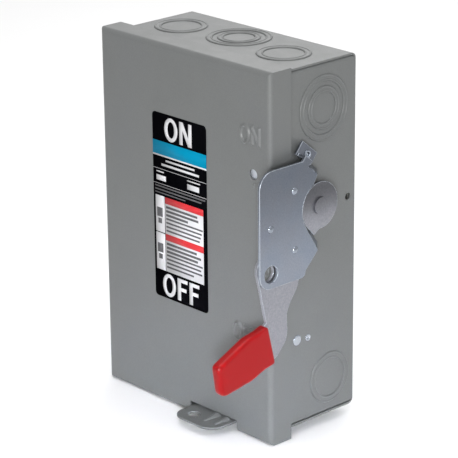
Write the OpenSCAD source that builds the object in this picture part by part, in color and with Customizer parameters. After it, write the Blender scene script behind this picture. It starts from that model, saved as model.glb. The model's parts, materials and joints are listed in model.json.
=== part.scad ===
// Enclosed two-pole fusible safety switch (AC disconnect) with a side-operated handle.
// +X is the handle side, the cover faces -Y, +Z is up.
// The origin is the centre of the four wall holes, on the outer face of the back.

/* [Enclosure] */
// Outside width of the box, side wall to side wall
body_w = 162; // [150:1:190]
// Outside height of the box, end wall to end wall
body_h = 261; // [255:1:300]
// Depth of the side and end walls, from the wall to their front edges
body_d = 80; // [80:0.5:84]
// Thickness of the box sheet
sheet_t = 1.5; // [1.2:0.1:2]
// Outer radius of the box's bends
bend_r = 4; // [2.5:0.5:6]
// Radius of the wall mounting holes
mount_hole_r = 3.25; // [2.5:0.25:4]
// Distance between the mounting holes across the box
mount_pitch_x = 120; // [112:1:126]
// Distance between the mounting holes up the box
mount_pitch_z = 216; // [210:1:224]

/* [Cover] */
// Outside width of the cover
cover_w = 173; // [172:0.5:176]
// Outside height of the cover
cover_h = 270; // [268:1:274]
// Overall depth of the closed box, from the wall to the cover's face
overall_d = 84; // [83.8:0.1:85]
// Depth of the cover's turned flanges
cover_flange = 20; // [19:0.5:21]
// Thickness of the cover sheet
cover_t = 1.2; // [1:0.1:1.3]
// Outer radius of the cover's bends
cover_bend = 3.6; // [2.4:0.2:4]
// Gap between the cover's right flange and the box
cover_gap = 0.8; // [0.7:0.1:1]
// Width of the label
label_w = 55.5; // [40:0.5:70]
// Height of the label
label_h = 138; // [100:1:170]

/* [Handle] */
// Radius of the handle's hub disc
hub_r = 17; // [15:0.5:18]
// Depth of the pivot in front of the wall
pivot_d = 43.5; // [42:0.5:45]
// Height of the pivot above the origin
pivot_z = 32.5; // [31:0.5:34]
// Thickness of the handle's steel
arm_t = 2.5; // [2:0.1:2.6]
// Thickness of the vinyl grip
grip_t = 8.6; // [6:0.1:8.8]
// Radius of the pivot shaft
shaft_r = 5; // [4:0.1:5]
// Thickness of the handle guard
guard_t = 2; // [1.5:0.1:2.5]
// Radius of the padlock hole in the guard
padlock_r = 6.2; // [5:0.1:6.5]
// Angle that the handle turns from OFF to ON
throw_deg = 80; // [70:1:80]

/* [Switch] */
// Distance between the two poles
pole_pitch = 44; // [40:1:44]
// Height of the insulating base
base_h = 182; // [176:1:184]
// Width of the insulating base
base_w = 100; // [96:1:102]
// Half length of a switch blade
blade_reach = 27; // [25:0.5:27]
// Thickness of a switch blade
blade_t = 2; // [1.5:0.1:2]
// Radius of the rotor bar
rotor_r = 7.5; // [6:0.1:8]
// Diameter of a cartridge fuse
fuse_dia = 14.3; // [14:0.1:14.3]
// Length of a cartridge fuse
fuse_len = 50.8; // [48:0.1:51]
// Radius of the wire holes in the lugs
lug_hole_r = 4; // [3:0.1:4.2]

/* [Hidden] */

$fn = 64;
eps = 0.01;        // how far a cutter passes a face
arc_steps = 8;     // straight steps in a rounded corner of an outline
run_gap = 0.05;    // running clearance of a shaft in its hole

// box and cover planes
half_w = body_w / 2;
half_h = body_h / 2;
wall_in = half_w - sheet_t;
back_in = -sheet_t;
cover_right = half_w + cover_gap + cover_t;
cover_left = cover_right - cover_w;
cover_top = half_h + 0.5 + cover_t;
cover_bottom = cover_top - cover_h;
cover_face = -overall_d;
cover_in = cover_face + cover_t;
flange_y = cover_face + cover_flange;

// hinge line of the cover, inside its left flange
hinge_x = -half_w - 5;
hinge_y = flange_y - 2.5;
hinge_r = 1.5;
knuckle_r = 2.4;
leaf_t = 1.4;
knuckle_len = 22;
hinge_heights = [-85, 85];

// handle planes, from the side wall outwards
arm_x = half_w + 5.5;
hub_x = arm_x + 1.3;
guard_x = half_w + 10;
pivot = [-pivot_d, pivot_z];
arc_r = hub_r + 3;

// guard plate
guard_front = -103.5;
guard_top = 69;
guard_low = -14.5;
guard_corner = 10;
lock_y = -93;
lock_z = -4;
foot_x = half_w + 3;

// mechanism
crank_x = 68;
crank_t = 2.5;
crank_reach = 13;
anchor_drop = 48;
anchor_z = pivot_z - anchor_drop;
guide_x = 72;
guide_t = 2;
pin_r = 2;
trunnion_r = 2.5;
pin_turn = throw_deg / 2;
guide_tilt = atan(crank_reach * sin(pin_turn) / (anchor_drop - crank_reach * cos(pin_turn)));

// switch planes
base_front = -14;
base_x = 2;
base_z = 1;
poles = [-pole_pitch / 2, pole_pitch / 2];
strap_t = 1.6;
jaw_w = 13;
jaw_t = 1.2;
jaw_gap = 0.15;
jaw_inner = 15;
jaw_outer = blade_reach + 3;
cheek_x = 41;
cheek_t = 4;
fuse_y = -32;
fuse_z = -40;
cap_len = 12.7;
clip_len = 10;
line_lug_z = 74;
load_lug_z = -88;
lug_size = [14, 15, 16];

// knockouts: visible ring edges of a single and of a double one
ring_h = 0.4;
single_rings = [[28.6, 38.1]];
double_rings = [[22.2, 30.4], [37.6, 46.5]];

// ---------- outline helpers ----------

function unit(v) = v / norm(v);
function xy(p) = [p[0], p[1]];

// points of one rounded corner at q, between its neighbours p and s
function corner(p, q, s, r) =
  let (a = unit(p - q), b = unit(s - q), half = acos(a * b) / 2)
  let (mid = q + unit(a + b) * r / sin(half))
  let (u = q + a * r / tan(half) - mid, v = q + b * r / tan(half) - mid)
  let (from = atan2(u[1], u[0]), turn = atan2(u[0] * v[1] - u[1] * v[0], u * v))
  [for (i = [0 : arc_steps]) mid + r * [cos(from + turn * i / arc_steps), sin(from + turn * i / arc_steps)]];

// an outline from [x, y, radius] corners
function rounded(pts) =
  let (n = len(pts))
  [for (i = [0 : n - 1]) each
    pts[i][2] == 0 ? [xy(pts[i])] :
    corner(xy(pts[(i + n - 1) % n]), xy(pts[i]), xy(pts[(i + 1) % n]), pts[i][2])];

function arc(mid, r, from, to) =
  [for (i = [0 : arc_steps]) mid + r * [cos(from + (to - from) * i / arc_steps),
                                         sin(from + (to - from) * i / arc_steps)]];

function rect(u0, u1, v0, v1, r) = rounded([[u0, v0, r], [u1, v0, r], [u1, v1, r], [u0, v1, r]]);

// ---------- solid helpers ----------

module block(lo, hi) translate(lo) cube(hi - lo);

// a plate drawn in (y, z), from x0 towards +X
module plate_yz(x0, t) translate([x0, 0, 0]) rotate([90, 0, 90]) linear_extrude(t) children();

// a plate drawn in (x, z), from y0 towards -Y
module plate_xz(y0, t) translate([0, y0, 0]) rotate([90, 0, 0]) linear_extrude(t) children();

// a plate drawn in (x, y), from z0 upwards
module plate_xy(z0, t) translate([0, 0, z0]) linear_extrude(t) children();

module rod_x(x0, x1, at, r) translate([x0, at[0], at[1]]) rotate([0, 90, 0]) cylinder(h = x1 - x0, r = r);
module rod_y(y0, y1, at, r) translate([at[0], y0, at[1]]) rotate([-90, 0, 0]) cylinder(h = y1 - y0, r = r);
module rod_z(z0, z1, at, r) translate([at[0], at[1], z0]) cylinder(h = z1 - z0, r = r);

// raised knockout rings on the plane z = 0
module rings(list) {
  for (d = list) difference() {
    cylinder(h = ring_h, d = d[1]);
    translate([0, 0, -eps]) cylinder(h = ring_h + 2 * eps, d = d[0]);
  }
}

// a slotted screw along -Y, its head's underside at y0
module screw_y(at, y0, head_r, head_h, shank_r, shank_len) {
  difference() {
    rod_y(y0 - head_h, y0, at, head_r);
    translate([at[0], y0 - head_h, at[1]]) cube([2 * head_r + 1, head_h, 1.1], center = true);
  }
  rod_y(y0 - eps, y0 + shank_len, at, shank_r);
}

// a point at a distance and an angle from the pivot, in (y, z); 0 points down, positive to the wall
function from_pivot(r, turn) = pivot + r * [sin(turn), -cos(turn)];

// ---------- enclosure ----------

end_rings_y = -37.5;
mid_rings_y = -30;
end_rings_x = [-55, 49];
mid_rings_x = -3;
side_high = [-31, 97.5];
side_low = [-24, -103];

module mount_holes() {
  for (x = [-1, 1], z = [-1, 1])
    rod_y(-sheet_t - 1, 1, [x * mount_pitch_x / 2, z * mount_pitch_z / 2], mount_hole_r);
}

module end_rings(side) {
  for (x = end_rings_x)
    translate([x, end_rings_y, side * half_h]) mirror([0, 0, side < 0 ? 1 : 0]) rings(single_rings);
  translate([mid_rings_x, mid_rings_y, side * half_h]) mirror([0, 0, side < 0 ? 1 : 0]) rings(double_rings);
}

// one sheet bent into the top, the back and the bottom
module enclosure_wrap() color([0.56, 0.57, 0.57]) {
  difference() {
    plate_yz(-half_w, body_w) polygon(rounded([
      [-body_d, half_h, 0], [0, half_h, bend_r], [0, -half_h, bend_r], [-body_d, -half_h, 0],
      [-body_d, -half_h + sheet_t, 0], [back_in, -half_h + sheet_t, bend_r - sheet_t],
      [back_in, half_h - sheet_t, bend_r - sheet_t], [-body_d, half_h - sheet_t, 0]]));
    mount_holes();
  }
  end_rings(1);
  end_rings(-1);
}

side_h = half_h - sheet_t;
side_flange = 12;
side_bend = 2.5;
side_rear_r = bend_r - sheet_t + 0.5;

// a side wall with its flanges turned in under the end walls, drawn for the right
module side_wall() {
  intersection() {
    translate([0, back_in, 0]) plate_xz(0, body_d - sheet_t) polygon(rounded([
      [half_w - side_flange, side_h, 0], [half_w, side_h, side_bend], [half_w, -side_h, side_bend],
      [half_w - side_flange, -side_h, 0], [half_w - side_flange, -side_h + sheet_t, 0],
      [wall_in, -side_h + sheet_t, side_bend - sheet_t], [wall_in, side_h - sheet_t, side_bend - sheet_t],
      [half_w - side_flange, side_h - sheet_t, 0]]));
    // rounded rear corners, so that the flanges sit inside the back's bends
    plate_yz(half_w - side_flange - 1, side_flange + 2) polygon(rounded([
      [-body_d - 1, -side_h - eps, 0], [back_in, -side_h - eps, side_rear_r],
      [back_in, side_h + eps, side_rear_r], [-body_d - 1, side_h + eps, 0]]));
  }
  translate([half_w, side_high[0], side_high[1]]) rotate([0, 90, 0]) rings(double_rings);
  translate([half_w, side_low[0], side_low[1]]) rotate([0, 90, 0]) rings(single_rings);
}

side_rivet = [-56.5, -65.9];
side_eyelet = [-45.8, -66.8];
side_hole = [-6.8, 27.9];
bushing_r = 7;
foot_rivet = [-51.8, 69.8];
rivet_shank = 2.5;

module side_wall_left() color([0.54, 0.55, 0.55]) mirror([1, 0, 0]) side_wall();

module side_wall_right() color([0.54, 0.55, 0.55]) difference() {
  side_wall();
  rod_x(wall_in - 1, half_w + 1, pivot, bushing_r);
  rod_x(wall_in - 1, half_w + 1, side_rivet, rivet_shank);
  rod_x(wall_in - 1, half_w + 1, side_eyelet, 1.5);
  rod_x(wall_in - 1, half_w + 1, foot_rivet, rivet_shank);
  rod_x(wall_in - 1, half_w + 1, side_hole, 2.6);
}

// the two fasteners in the right wall below the handle
module side_wall_rivets() color([0.75, 0.77, 0.8]) {
  rod_x(wall_in - 1.2, half_w, side_rivet, rivet_shank);
  rod_x(half_w, half_w + 0.9, side_rivet, 3.9);
  rod_x(wall_in - 1, half_w, side_eyelet, 1.5);
  rod_x(half_w, half_w + 0.5, side_eyelet, 2.5);
}

// padlock tab under the bottom wall, reaching out through the notch in the cover
hasp_x = [3.5, 45.5];
hasp_front = cover_face - 22;
hasp_t = 1.8;
hasp_hole = [16, -95];
hasp_hole_r = 4.2;

module hasp_plate() color([0.56, 0.57, 0.57]) difference() {
  plate_xy(-half_h - hasp_t, hasp_t) polygon(rounded([
    [hasp_x[0], -58, 3], [hasp_x[0], hasp_front, 10], [hasp_x[1], hasp_front, 12], [hasp_x[1], -58, 3]]));
  rod_z(-half_h - hasp_t - 1, -half_h + 1, hasp_hole, hasp_hole_r);
}

// ---------- guard and bearing ----------

// the guard's outline: a scoop round the hub, and two rear corners cut off for its legs
upper_fold = [[-63.5, guard_top], [-49, 57]];
lower_fold = [[-48, 2.3], [-60, -9.8]];
scoop_from = 116;
scoop_to = 205;

module guard_outline() polygon(rounded(concat(
  [[guard_front, guard_low, guard_corner], [guard_front, guard_top, guard_corner + 2]],
  [[upper_fold[0][0], guard_top, 2], [upper_fold[1][0], upper_fold[1][1], 1]],
  [for (p = arc(pivot, arc_r, scoop_from, scoop_to)) [p[0], p[1], 0]],
  [[lower_fold[0][0], lower_fold[0][1], 1.5], [lower_fold[1][0], lower_fold[1][1], 0]],
  [[-60.6, -12.8, 0], [-63.5, guard_low, 0]])));

// a leg that runs from a stretch of the guard's edge back to the wall
module guard_leg(from, to, back) hull() for (p = [from, to]) {
  translate([guard_x + guard_t / 2, p[0], p[1]]) sphere(r = guard_t / 2, $fn = 16);
  translate([half_w + guard_t / 2, p[0] + back[0], p[1] + back[1]]) sphere(r = guard_t / 2, $fn = 16);
}

// the foot and its joggle, measured along and out from the guard's upper fold
fold_turn = atan2(upper_fold[1][1] - guard_top, upper_fold[1][0] - upper_fold[0][0]);
foot_along = [-1.5, 16.5];
neck_along = [0.5, 8];
joggle_out = 2.9;
foot_out = 13.6;

module fold_rect(along, out) translate(upper_fold[0]) rotate(fold_turn)
  translate([along[0], out[0]]) square([along[1] - along[0], out[1] - out[0]]);

// dimples pressed out of the plate
guard_dimples = [[-70.6, 50], [-93, 28], [-70, 7.6]];
dimple_r = 2.6;
dimple_h = 1.22;

// the section of a dome, a slice of a ball, in n steps
function dome_section(r, h, n = 6) =
  let (ball = (r * r + h * h) / (2 * h), edge = asin(r / ball))
  [[0, 0], for (i = [n : -1 : 0]) [ball * sin(edge * i / n), ball * cos(edge * i / n) - ball + h]];

module guard_plate() color([0.62, 0.66, 0.72]) {
  difference() {
    union() {
      plate_yz(guard_x, guard_t) guard_outline();
      plate_yz(guard_x, guard_t) fold_rect(neck_along, [-2, joggle_out + guard_t]);
      plate_yz(foot_x, guard_x + guard_t - foot_x) fold_rect(neck_along, [joggle_out, joggle_out + guard_t]);
      plate_yz(foot_x, guard_t) fold_rect(foot_along, [joggle_out, foot_out]);
    }
    rod_x(guard_x - 1, guard_x + guard_t + 1, [lock_y, lock_z], padlock_r);
    rod_x(foot_x - 1, foot_x + guard_t + 1, foot_rivet, rivet_shank);
  }
  for (p = guard_dimples)
    translate([guard_x + guard_t, p[0], p[1]]) rotate([0, 90, 0])
      rotate_extrude() polygon(dome_section(dimple_r, dimple_h));
  guard_leg([-56.2, 62.8], [-49.9, 57.5], [10, -2]);
  guard_leg([-56.2, 12.8], [-49.4, 3.6], [10, -1]);
}

module guard_rivet() color([0.75, 0.77, 0.8]) {
  rod_x(wall_in - 1.2, foot_x + guard_t, foot_rivet, rivet_shank);
  rod_x(half_w, foot_x, foot_rivet, 3.6);
  rod_x(foot_x + guard_t, foot_x + guard_t + 0.8, foot_rivet, 3.2);
}

module shaft_bushing() color([0.7, 0.68, 0.6]) difference() {
  union() {
    rod_x(wall_in, half_w, pivot, bushing_r);
    rod_x(half_w, hub_x - 0.3, pivot, 9);
    rod_x(wall_in - 2, wall_in, pivot, 10);
  }
  rod_x(wall_in - 3, hub_x + 1, pivot, shaft_r + run_gap);
}

// ---------- hinge ----------

module hinge_leaf_box() color([0.56, 0.57, 0.57]) for (z = hinge_heights) difference() {
  union() {
    rod_z(z, z + knuckle_len / 2, [hinge_x, hinge_y], knuckle_r);
    block([hinge_x, hinge_y - knuckle_r, z], [-half_w, hinge_y - knuckle_r + leaf_t, z + knuckle_len / 2]);
    block([-half_w - leaf_t, hinge_y - 12, z],
          [-half_w, hinge_y - knuckle_r + leaf_t, z + knuckle_len / 2]);
  }
  rod_z(z - 1, z + knuckle_len, [hinge_x, hinge_y], hinge_r);
}

module hinge_pins() color([0.7, 0.72, 0.75]) for (z = hinge_heights) {
  rod_z(z - knuckle_len / 2 - 1, z + knuckle_len / 2 + 1, [hinge_x, hinge_y], hinge_r);
  rod_z(z + knuckle_len / 2, z + knuckle_len / 2 + 1.2, [hinge_x, hinge_y], 2.2);
}

module hinge_leaf_cover() color([0.56, 0.57, 0.57]) for (z = hinge_heights) difference() {
  union() {
    rod_z(z - knuckle_len / 2, z - 0.3, [hinge_x, hinge_y], knuckle_r);
    block([cover_left + cover_t, hinge_y - 1.2, z - knuckle_len / 2], [hinge_x, hinge_y, z - 0.3]);
    block([cover_left + cover_t, hinge_y - 12, z - knuckle_len / 2],
          [cover_left + cover_t + 1, hinge_y, z - 0.3]);
  }
  rod_z(z - knuckle_len, z + 1, [hinge_x, hinge_y], hinge_r + run_gap);
}

// ---------- cover ----------

hasp_notch_x = [0, 48.5];
hasp_notch_z = -half_h + 0.5;
key_hole = [66.8, 58.5];
key_hole_r = 3.8;

// a shallow pan that opens towards +Y, its four front edges rounded to radius r
module pan(lo, hi, r) intersection() {
  plate_xy(lo[2], hi[2] - lo[2])
    polygon(rounded([[lo[0], lo[1], r], [hi[0], lo[1], r], [hi[0], hi[1], 0], [lo[0], hi[1], 0]]));
  plate_yz(lo[0], hi[0] - lo[0])
    polygon(rounded([[lo[1], lo[2], r], [hi[1], lo[2], 0], [hi[1], hi[2], 0], [lo[1], hi[2], r]]));
}

module cover() color([0.5, 0.51, 0.5]) difference() {
  pan([cover_left, cover_face, cover_bottom], [cover_right, flange_y, cover_top], cover_bend);
  pan([cover_left + cover_t, cover_in, cover_bottom + cover_t],
      [cover_right - cover_t, flange_y + 1, cover_top - cover_t], cover_bend - cover_t);
  block([hasp_notch_x[0], cover_face - 1, cover_bottom - 1], [hasp_notch_x[1], flange_y + 1, hasp_notch_z]);
  rod_y(cover_face - 1, cover_in + 1, key_hole, key_hole_r);
}

label_x = -7.3;
label_z = 13.2;

module cover_label() color([0.1, 0.1, 0.11])
  plate_xz(cover_face, 0.2)
    polygon(rect(label_x - label_w / 2, label_x + label_w / 2,
                 label_z - label_h / 2, label_z + label_h / 2, 3));

// a bracket inside the cover, with a notch that the interlock's finger enters
catch_x = 71.5;
catch_z = 64.2;

module cover_catch() color([0.7, 0.72, 0.75]) {
  difference() {
    block([catch_x, cover_in, catch_z], [catch_x + 1.5, -67, catch_z + 14]);
    block([catch_x - 1, -76, catch_z - 1], [catch_x + 3, -70.5, catch_z + 6.3]);
  }
  block([catch_x + 1.5, cover_in, catch_z + 2], [catch_x + 7.5, cover_in + 1.2, catch_z + 12]);
}

// ---------- handle ----------

// the steel lever: a hub disc, a narrow neck and a broad blade that carries the padlock lug
module arm_outline() polygon(rounded([
  [-56, 20, 1], [-59, 16, 2], [-63, -20, 20], [-74.4, -37, 14], [-73.3, -57, 16], [-85.5, -69.5, 6],
  [-112, -64, 6], [-116, -53, 4], [-93.8, -40.4, 1], [-99.8, -13, 4], [-102.3, -4, 6], [-102.3, 5, 8],
  [-93, 9.5, 6], [-66, 23.5, 4], [-61, 37, 0], [-50, 37, 0], [-50, 15, 0]]));

module handle_arm() color([0.64, 0.65, 0.68]) difference() {
  union() {
    plate_yz(arm_x, arm_t) arm_outline();
    // the neck steps out to the hub disc
    plate_yz(arm_x, hub_x + arm_t - arm_x) polygon([[-50, 15], [-56, 20], [-59.4, 26], [-60, 37], [-50, 43]]);
    rod_x(hub_x, hub_x + arm_t, pivot, hub_r);
    plate_yz(hub_x, arm_t) polygon([[-56, 20], [-48.6, 12.4], [-47, 12], [-43, 16], [-43, 30]]);
  }
  rod_x(arm_x - 1, hub_x + arm_t + 1, pivot, shaft_r);
  rod_x(arm_x - 1, arm_x + arm_t + 1, [lock_y, lock_z], padlock_r);
  // the hub disc alone stays over the shaft, clear of the bearing boss
  rod_x(arm_x - 1, hub_x, pivot, 12);
}

module grip_outline() polygon(rounded([
  [-88.5, -70, 1], [-95.4, -41.2, 1.5], [-113, -45.5, 30], [-141.5, -58.5, 3.5], [-138, -82.5, 6],
  [-109, -78, 30]]));

module handle_grip() color([0.8, 0.14, 0.12]) difference() {
  plate_yz(arm_x + arm_t / 2 - grip_t / 2, grip_t) grip_outline();
  plate_yz(arm_x, arm_t) arm_outline();
}

// the pivot, with its riveted head outside and a flat driving tang inside
module pivot_shaft() color([0.55, 0.55, 0.56]) {
  rod_x(61.8, hub_x + arm_t, pivot, shaft_r);
  rod_x(hub_x + arm_t, hub_x + arm_t + 1.4, pivot, 6.2);
  translate([0, pivot[0], pivot[1]]) rotate([40, 0, 0]) block([56.5, -2.5, -4.3], [62, 2.5, 4.3]);
}

module drive_crank() color([0.66, 0.67, 0.7]) {
  difference() {
    plate_yz(crank_x, crank_t) union() {
      translate(pivot) circle(r = 12);
      translate(from_pivot(crank_reach, pin_turn)) circle(r = 6);
    }
    rod_x(crank_x - 1, crank_x + crank_t + 1, pivot, shaft_r);
  }
  rod_x(crank_x + crank_t, guide_x + guide_t + 1.5, from_pivot(crank_reach, pin_turn), pin_r);
}

// ---------- over-centre toggle ----------

guide_w = 9;
slot_w = 2 * pin_r + 1.8;
slot_low = 34.5;
slot_high = 41.3;

// draws in the guide's own frame: origin at the trunnion, +Y of the outline along the guide
module on_guide() translate([0, pivot[0], anchor_z]) rotate([-guide_tilt, 0, 0]) children();

module toggle_guide() color([0.7, 0.71, 0.74]) on_guide() {
  difference() {
    union() {
      plate_yz(guide_x, guide_t) union() {
        circle(r = 5.5);
        translate([-2.5, 0]) square([5, 30]);
        polygon(rect(-guide_w / 2, guide_w / 2, 27, slot_high + 1.2, 2));
      }
    }
    rod_x(guide_x - 1, guide_x + guide_t + 1, [0, 0], trunnion_r + run_gap);
    block([guide_x - 1, -slot_w / 2, slot_low - slot_w / 2], [guide_x + guide_t + 1, slot_w / 2, slot_high]);
  }
}

coil_r = 4.6;
wire_r = 0.6;
coil_turns = 7;
coil_from = 6.5;
coil_to = 26.2;
ring_steps = 14;
wire_sides = 8;

// the coil's wire as one swept skin
function coil_point(i, j) =
  let (turn = 360 * i / ring_steps, round = 360 * j / wire_sides, r = coil_r + wire_r * cos(round))
  [r * cos(turn), r * sin(turn),
   coil_from + (coil_to - coil_from) * i / (coil_turns * ring_steps) + wire_r * sin(round)];

module toggle_spring() color([0.6, 0.6, 0.62]) on_guide() translate([guide_x + guide_t / 2, 0, 0]) {
  last = coil_turns * ring_steps;
  polyhedron(
    points = [for (i = [0 : last], j = [0 : wire_sides - 1]) coil_point(i, j)],
    faces = concat(
      [[for (j = [0 : wire_sides - 1]) j]],
      [[for (j = [wire_sides - 1 : -1 : 0]) last * wire_sides + j]],
      [for (i = [0 : last - 1], j = [0 : wire_sides - 1])
        [i * wire_sides + j, (i + 1) * wire_sides + j,
         (i + 1) * wire_sides + (j + 1) % wire_sides, i * wire_sides + (j + 1) % wire_sides]]));
}

bracket_x = 64;
bracket_t = 2;

// the frame plate between the switch and the toggle
module mechanism_bracket() color([0.66, 0.67, 0.7]) {
  difference() {
    plate_yz(bracket_x, bracket_t) polygon(rounded([
      [back_in, -32, 0], [back_in, 56, 0], [-52, 56, 8], [-58, 30, 6], [-56, -26, 8], [-40, -32, 4]]));
    rod_x(bracket_x - 1, bracket_x + bracket_t + 1, pivot, shaft_r + 1);
  }
  block([bracket_x + bracket_t, back_in - 1.5, -32], [bracket_x + 13, back_in, 56]);
}

module trunnion_pin() color([0.75, 0.76, 0.78]) {
  rod_x(bracket_x + bracket_t, guide_x + guide_t + 1.2, [pivot[0], anchor_z], trunnion_r);
  rod_x(bracket_x + bracket_t, guide_x - 0.4, [pivot[0], anchor_z], 4.5);
}

// ---------- cover interlock ----------

slide_x = wall_in - 1.9;
slide_t = 1.5;
finger_z = 60;
tongue_x = [54, 70];
slide_front = -80.6;

module interlock_slide() color([0.7, 0.72, 0.75]) {
  plate_yz(slide_x, slide_t) polygon(rounded([
    [slide_front, 49, 0], [slide_front, finger_z + 3.5, 0], [-66, finger_z + 3.5, 2], [-66, 80, 3],
    [-56, 80, 3], [-56, 38, 3], [-66, 38, 3], [-66, 49, 2]]));
  // the tongue behind the cover's key hole, and its stem below the catch
  block([tongue_x[0], slide_front, 49], [tongue_x[1], slide_front + 1.2, 63]);
  block([tongue_x[1], slide_front, 49], [slide_x, slide_front + 1.2, 57]);
  // the finger that enters the catch
  block([70, -75, finger_z], [slide_x, -71.5, finger_z + 3.5]);
}

// two fixed strips that the slide runs behind
module interlock_keeper() color([0.66, 0.67, 0.7]) for (z = [44, 74]) {
  block([slide_x - 1.3, -68, z - 2.5], [slide_x - 0.3, -54, z + 2.5]);
  for (y = [-68, -55.4])
    block([slide_x - 0.3, y, z - 2.5], [wall_in, y + 1.4, z + 2.5]);
}

// ---------- rotor ----------

module rotor_bar() color([0.16, 0.13, 0.12]) difference() {
  union() {
    rod_x(-cheek_x - cheek_t - 1, 52, pivot, rotor_r);
    rod_x(52, 60, pivot, 9);
  }
  // the slot that takes the shaft's tang
  translate([0, pivot[0], pivot[1]]) rotate([40, 0, 0]) block([56, -2.8, -4.8], [61, 2.8, 4.8]);
  for (x = poles) blade_bar(x);
}

// a blade lies throw_deg away from vertical when the handle is at OFF
module blade_bar(x) translate([x - blade_t / 2, pivot[0], pivot[1]]) rotate([throw_deg, 0, 0])
  rotate([90, 0, 90]) linear_extrude(blade_t) polygon(rect(-5, 5, -blade_reach, blade_reach, 3));

module switch_blades() color([0.72, 0.45, 0.3]) for (x = poles) blade_bar(x);

// ---------- insulating base and conductors ----------

module switch_base() color([0.13, 0.13, 0.14]) difference() {
  union() {
    block([base_x - base_w / 2, base_front, base_z - base_h / 2],
          [base_x + base_w / 2, back_in, base_z + base_h / 2]);
    // barrier between the poles
    block([-1.5, -58, base_z - base_h / 2 + 3], [1.5, base_front, base_z + base_h / 2 - 3]);
    // bearing cheeks
    for (x = [-cheek_x - cheek_t, cheek_x])
      plate_yz(x, cheek_t) polygon(rounded([
        [base_front, -2, 0], [base_front, 65, 0], [-50, 56, 6], [-57, 31, 8], [-50, 8, 6]]));
  }
  rod_x(-cheek_x - cheek_t - 1, -cheek_x + 1, pivot, rotor_r + run_gap);
  rod_x(cheek_x - 1, cheek_x + cheek_t + 1, pivot, rotor_r + run_gap);
  rod_x(-5, 5, pivot, rotor_r + 1.5);
  for (p = base_screw_places) {
    rod_y(base_front - 1, back_in + 1, p, 2.2);
    rod_y(base_front - 1, base_front + 4, p, 5);
  }
}

base_screw_places = [[-42, -84], [46, -84], [-42, 86], [46, 86]];

module base_screws() color([0.75, 0.76, 0.78]) for (p = base_screw_places)
  screw_y(p, base_front + 4, 4.2, 2.6, 2.2, back_in - base_front - 4);

// two leaves and the web that joins them, beyond the blade's tip; side is 1 above and -1 below
module jaw(x, side) {
  web_z = pivot_z + side * jaw_outer;
  for (s = [-1, 1]) {
    x0 = x + s * (blade_t / 2 + jaw_gap);
    block([min(x0, x0 + s * jaw_t), pivot[0] - jaw_w / 2, min(pivot_z + side * jaw_inner, web_z)],
          [max(x0, x0 + s * jaw_t), pivot[0] + jaw_w / 2, max(pivot_z + side * jaw_inner, web_z)]);
  }
  block([x - 4, pivot[0] - jaw_w / 2, min(web_z, web_z + side * 3)],
        [x + 4, base_front, max(web_z, web_z + side * 3)]);
}

module line_jaws() color([0.75, 0.5, 0.32]) for (x = poles) {
  jaw(x, 1);
  block([x - 6, base_front - strap_t, pivot_z + jaw_outer], [x + 6, base_front, line_lug_z + lug_size[2]]);
}

upper_clip_z = fuse_z + fuse_len / 2 - cap_len / 2;
lower_clip_z = fuse_z - fuse_len / 2 + cap_len / 2;

// a spring clip round a fuse cap, open to the front
module fuse_clip(x, z) {
  r_in = fuse_dia / 2 + run_gap;
  difference() {
    rod_z(z - clip_len / 2, z + clip_len / 2, [x, fuse_y], r_in + jaw_t);
    rod_z(z - clip_len, z + clip_len, [x, fuse_y], r_in);
    block([x - 5.5, fuse_y - 12, z - clip_len], [x + 5.5, fuse_y, z + clip_len]);
  }
  block([x - 3, fuse_y + r_in + jaw_t - 0.5, z - clip_len / 2],
        [x + 3, base_front - strap_t, z + clip_len / 2]);
}

module load_jaws() color([0.75, 0.5, 0.32]) for (x = poles) {
  jaw(x, -1);
  block([x - 6, base_front - strap_t, upper_clip_z - clip_len / 2],
        [x + 6, base_front, pivot_z - jaw_outer]);
  fuse_clip(x, upper_clip_z);
}

module fuse_clips() color([0.75, 0.5, 0.32]) for (x = poles) {
  fuse_clip(x, lower_clip_z);
  block([x - 6, base_front - strap_t, load_lug_z], [x + 6, base_front, lower_clip_z + clip_len / 2]);
}

module fuse_tubes() color([0.75, 0.68, 0.5]) for (x = poles)
  rod_z(fuse_z - fuse_len / 2 + cap_len, fuse_z + fuse_len / 2 - cap_len, [x, fuse_y], fuse_dia / 2 - 0.5);

module fuse_caps() color([0.8, 0.62, 0.35]) for (x = poles, s = [-1, 1]) {
  z = fuse_z + s * (fuse_len / 2 - cap_len / 2);
  rod_z(z - cap_len / 2, z + cap_len / 2, [x, fuse_y], fuse_dia / 2);
}

lug_front = base_front - strap_t - lug_size[1];

// a wire lug on its strap: a through hole for the wire, and a set screw from the front
module lug(x, z) difference() {
  block([x - lug_size[0] / 2, lug_front, z], [x + lug_size[0] / 2, base_front - strap_t, z + lug_size[2]]);
  rod_z(z - 1, z + lug_size[2] + 1, [x, base_front - strap_t - 5.5], lug_hole_r);
  rod_y(lug_front - 1, base_front - strap_t - 5.5, [x, z + lug_size[2] / 2], 3.2);
}

module lug_screw(x, z) screw_y([x, z + lug_size[2] / 2], lug_front, 4, 2.5, 3.2, 3.5);

module line_lugs() color([0.72, 0.73, 0.75]) for (x = poles) lug(x, line_lug_z);
module load_lugs() color([0.72, 0.73, 0.75]) for (x = poles) lug(x, load_lug_z);
module line_lug_screws() color([0.6, 0.61, 0.63]) for (x = poles) lug_screw(x, line_lug_z);
module load_lug_screws() color([0.6, 0.61, 0.63]) for (x = poles) lug_screw(x, load_lug_z);

// a moulded cover over the live line lugs
module line_shield() color([0.2, 0.2, 0.21]) {
  z0 = 68;
  z1 = 91;
  block([-38, -62, z0], [41, -60.2, z1]);
  for (x = [-38, 39.2]) block([x, -60.2, z0], [x + 1.8, base_front, z1]);
}

neutral_x = -66;
neutral_from = -50;
neutral_len = 58;
neutral_holes = 4;
neutral_pitch = 13;

module neutral_block() color([0.9, 0.89, 0.85])
  block([neutral_x - 9, -20, neutral_from - 4], [neutral_x + 9, back_in, neutral_from + neutral_len + 4]);

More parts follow.
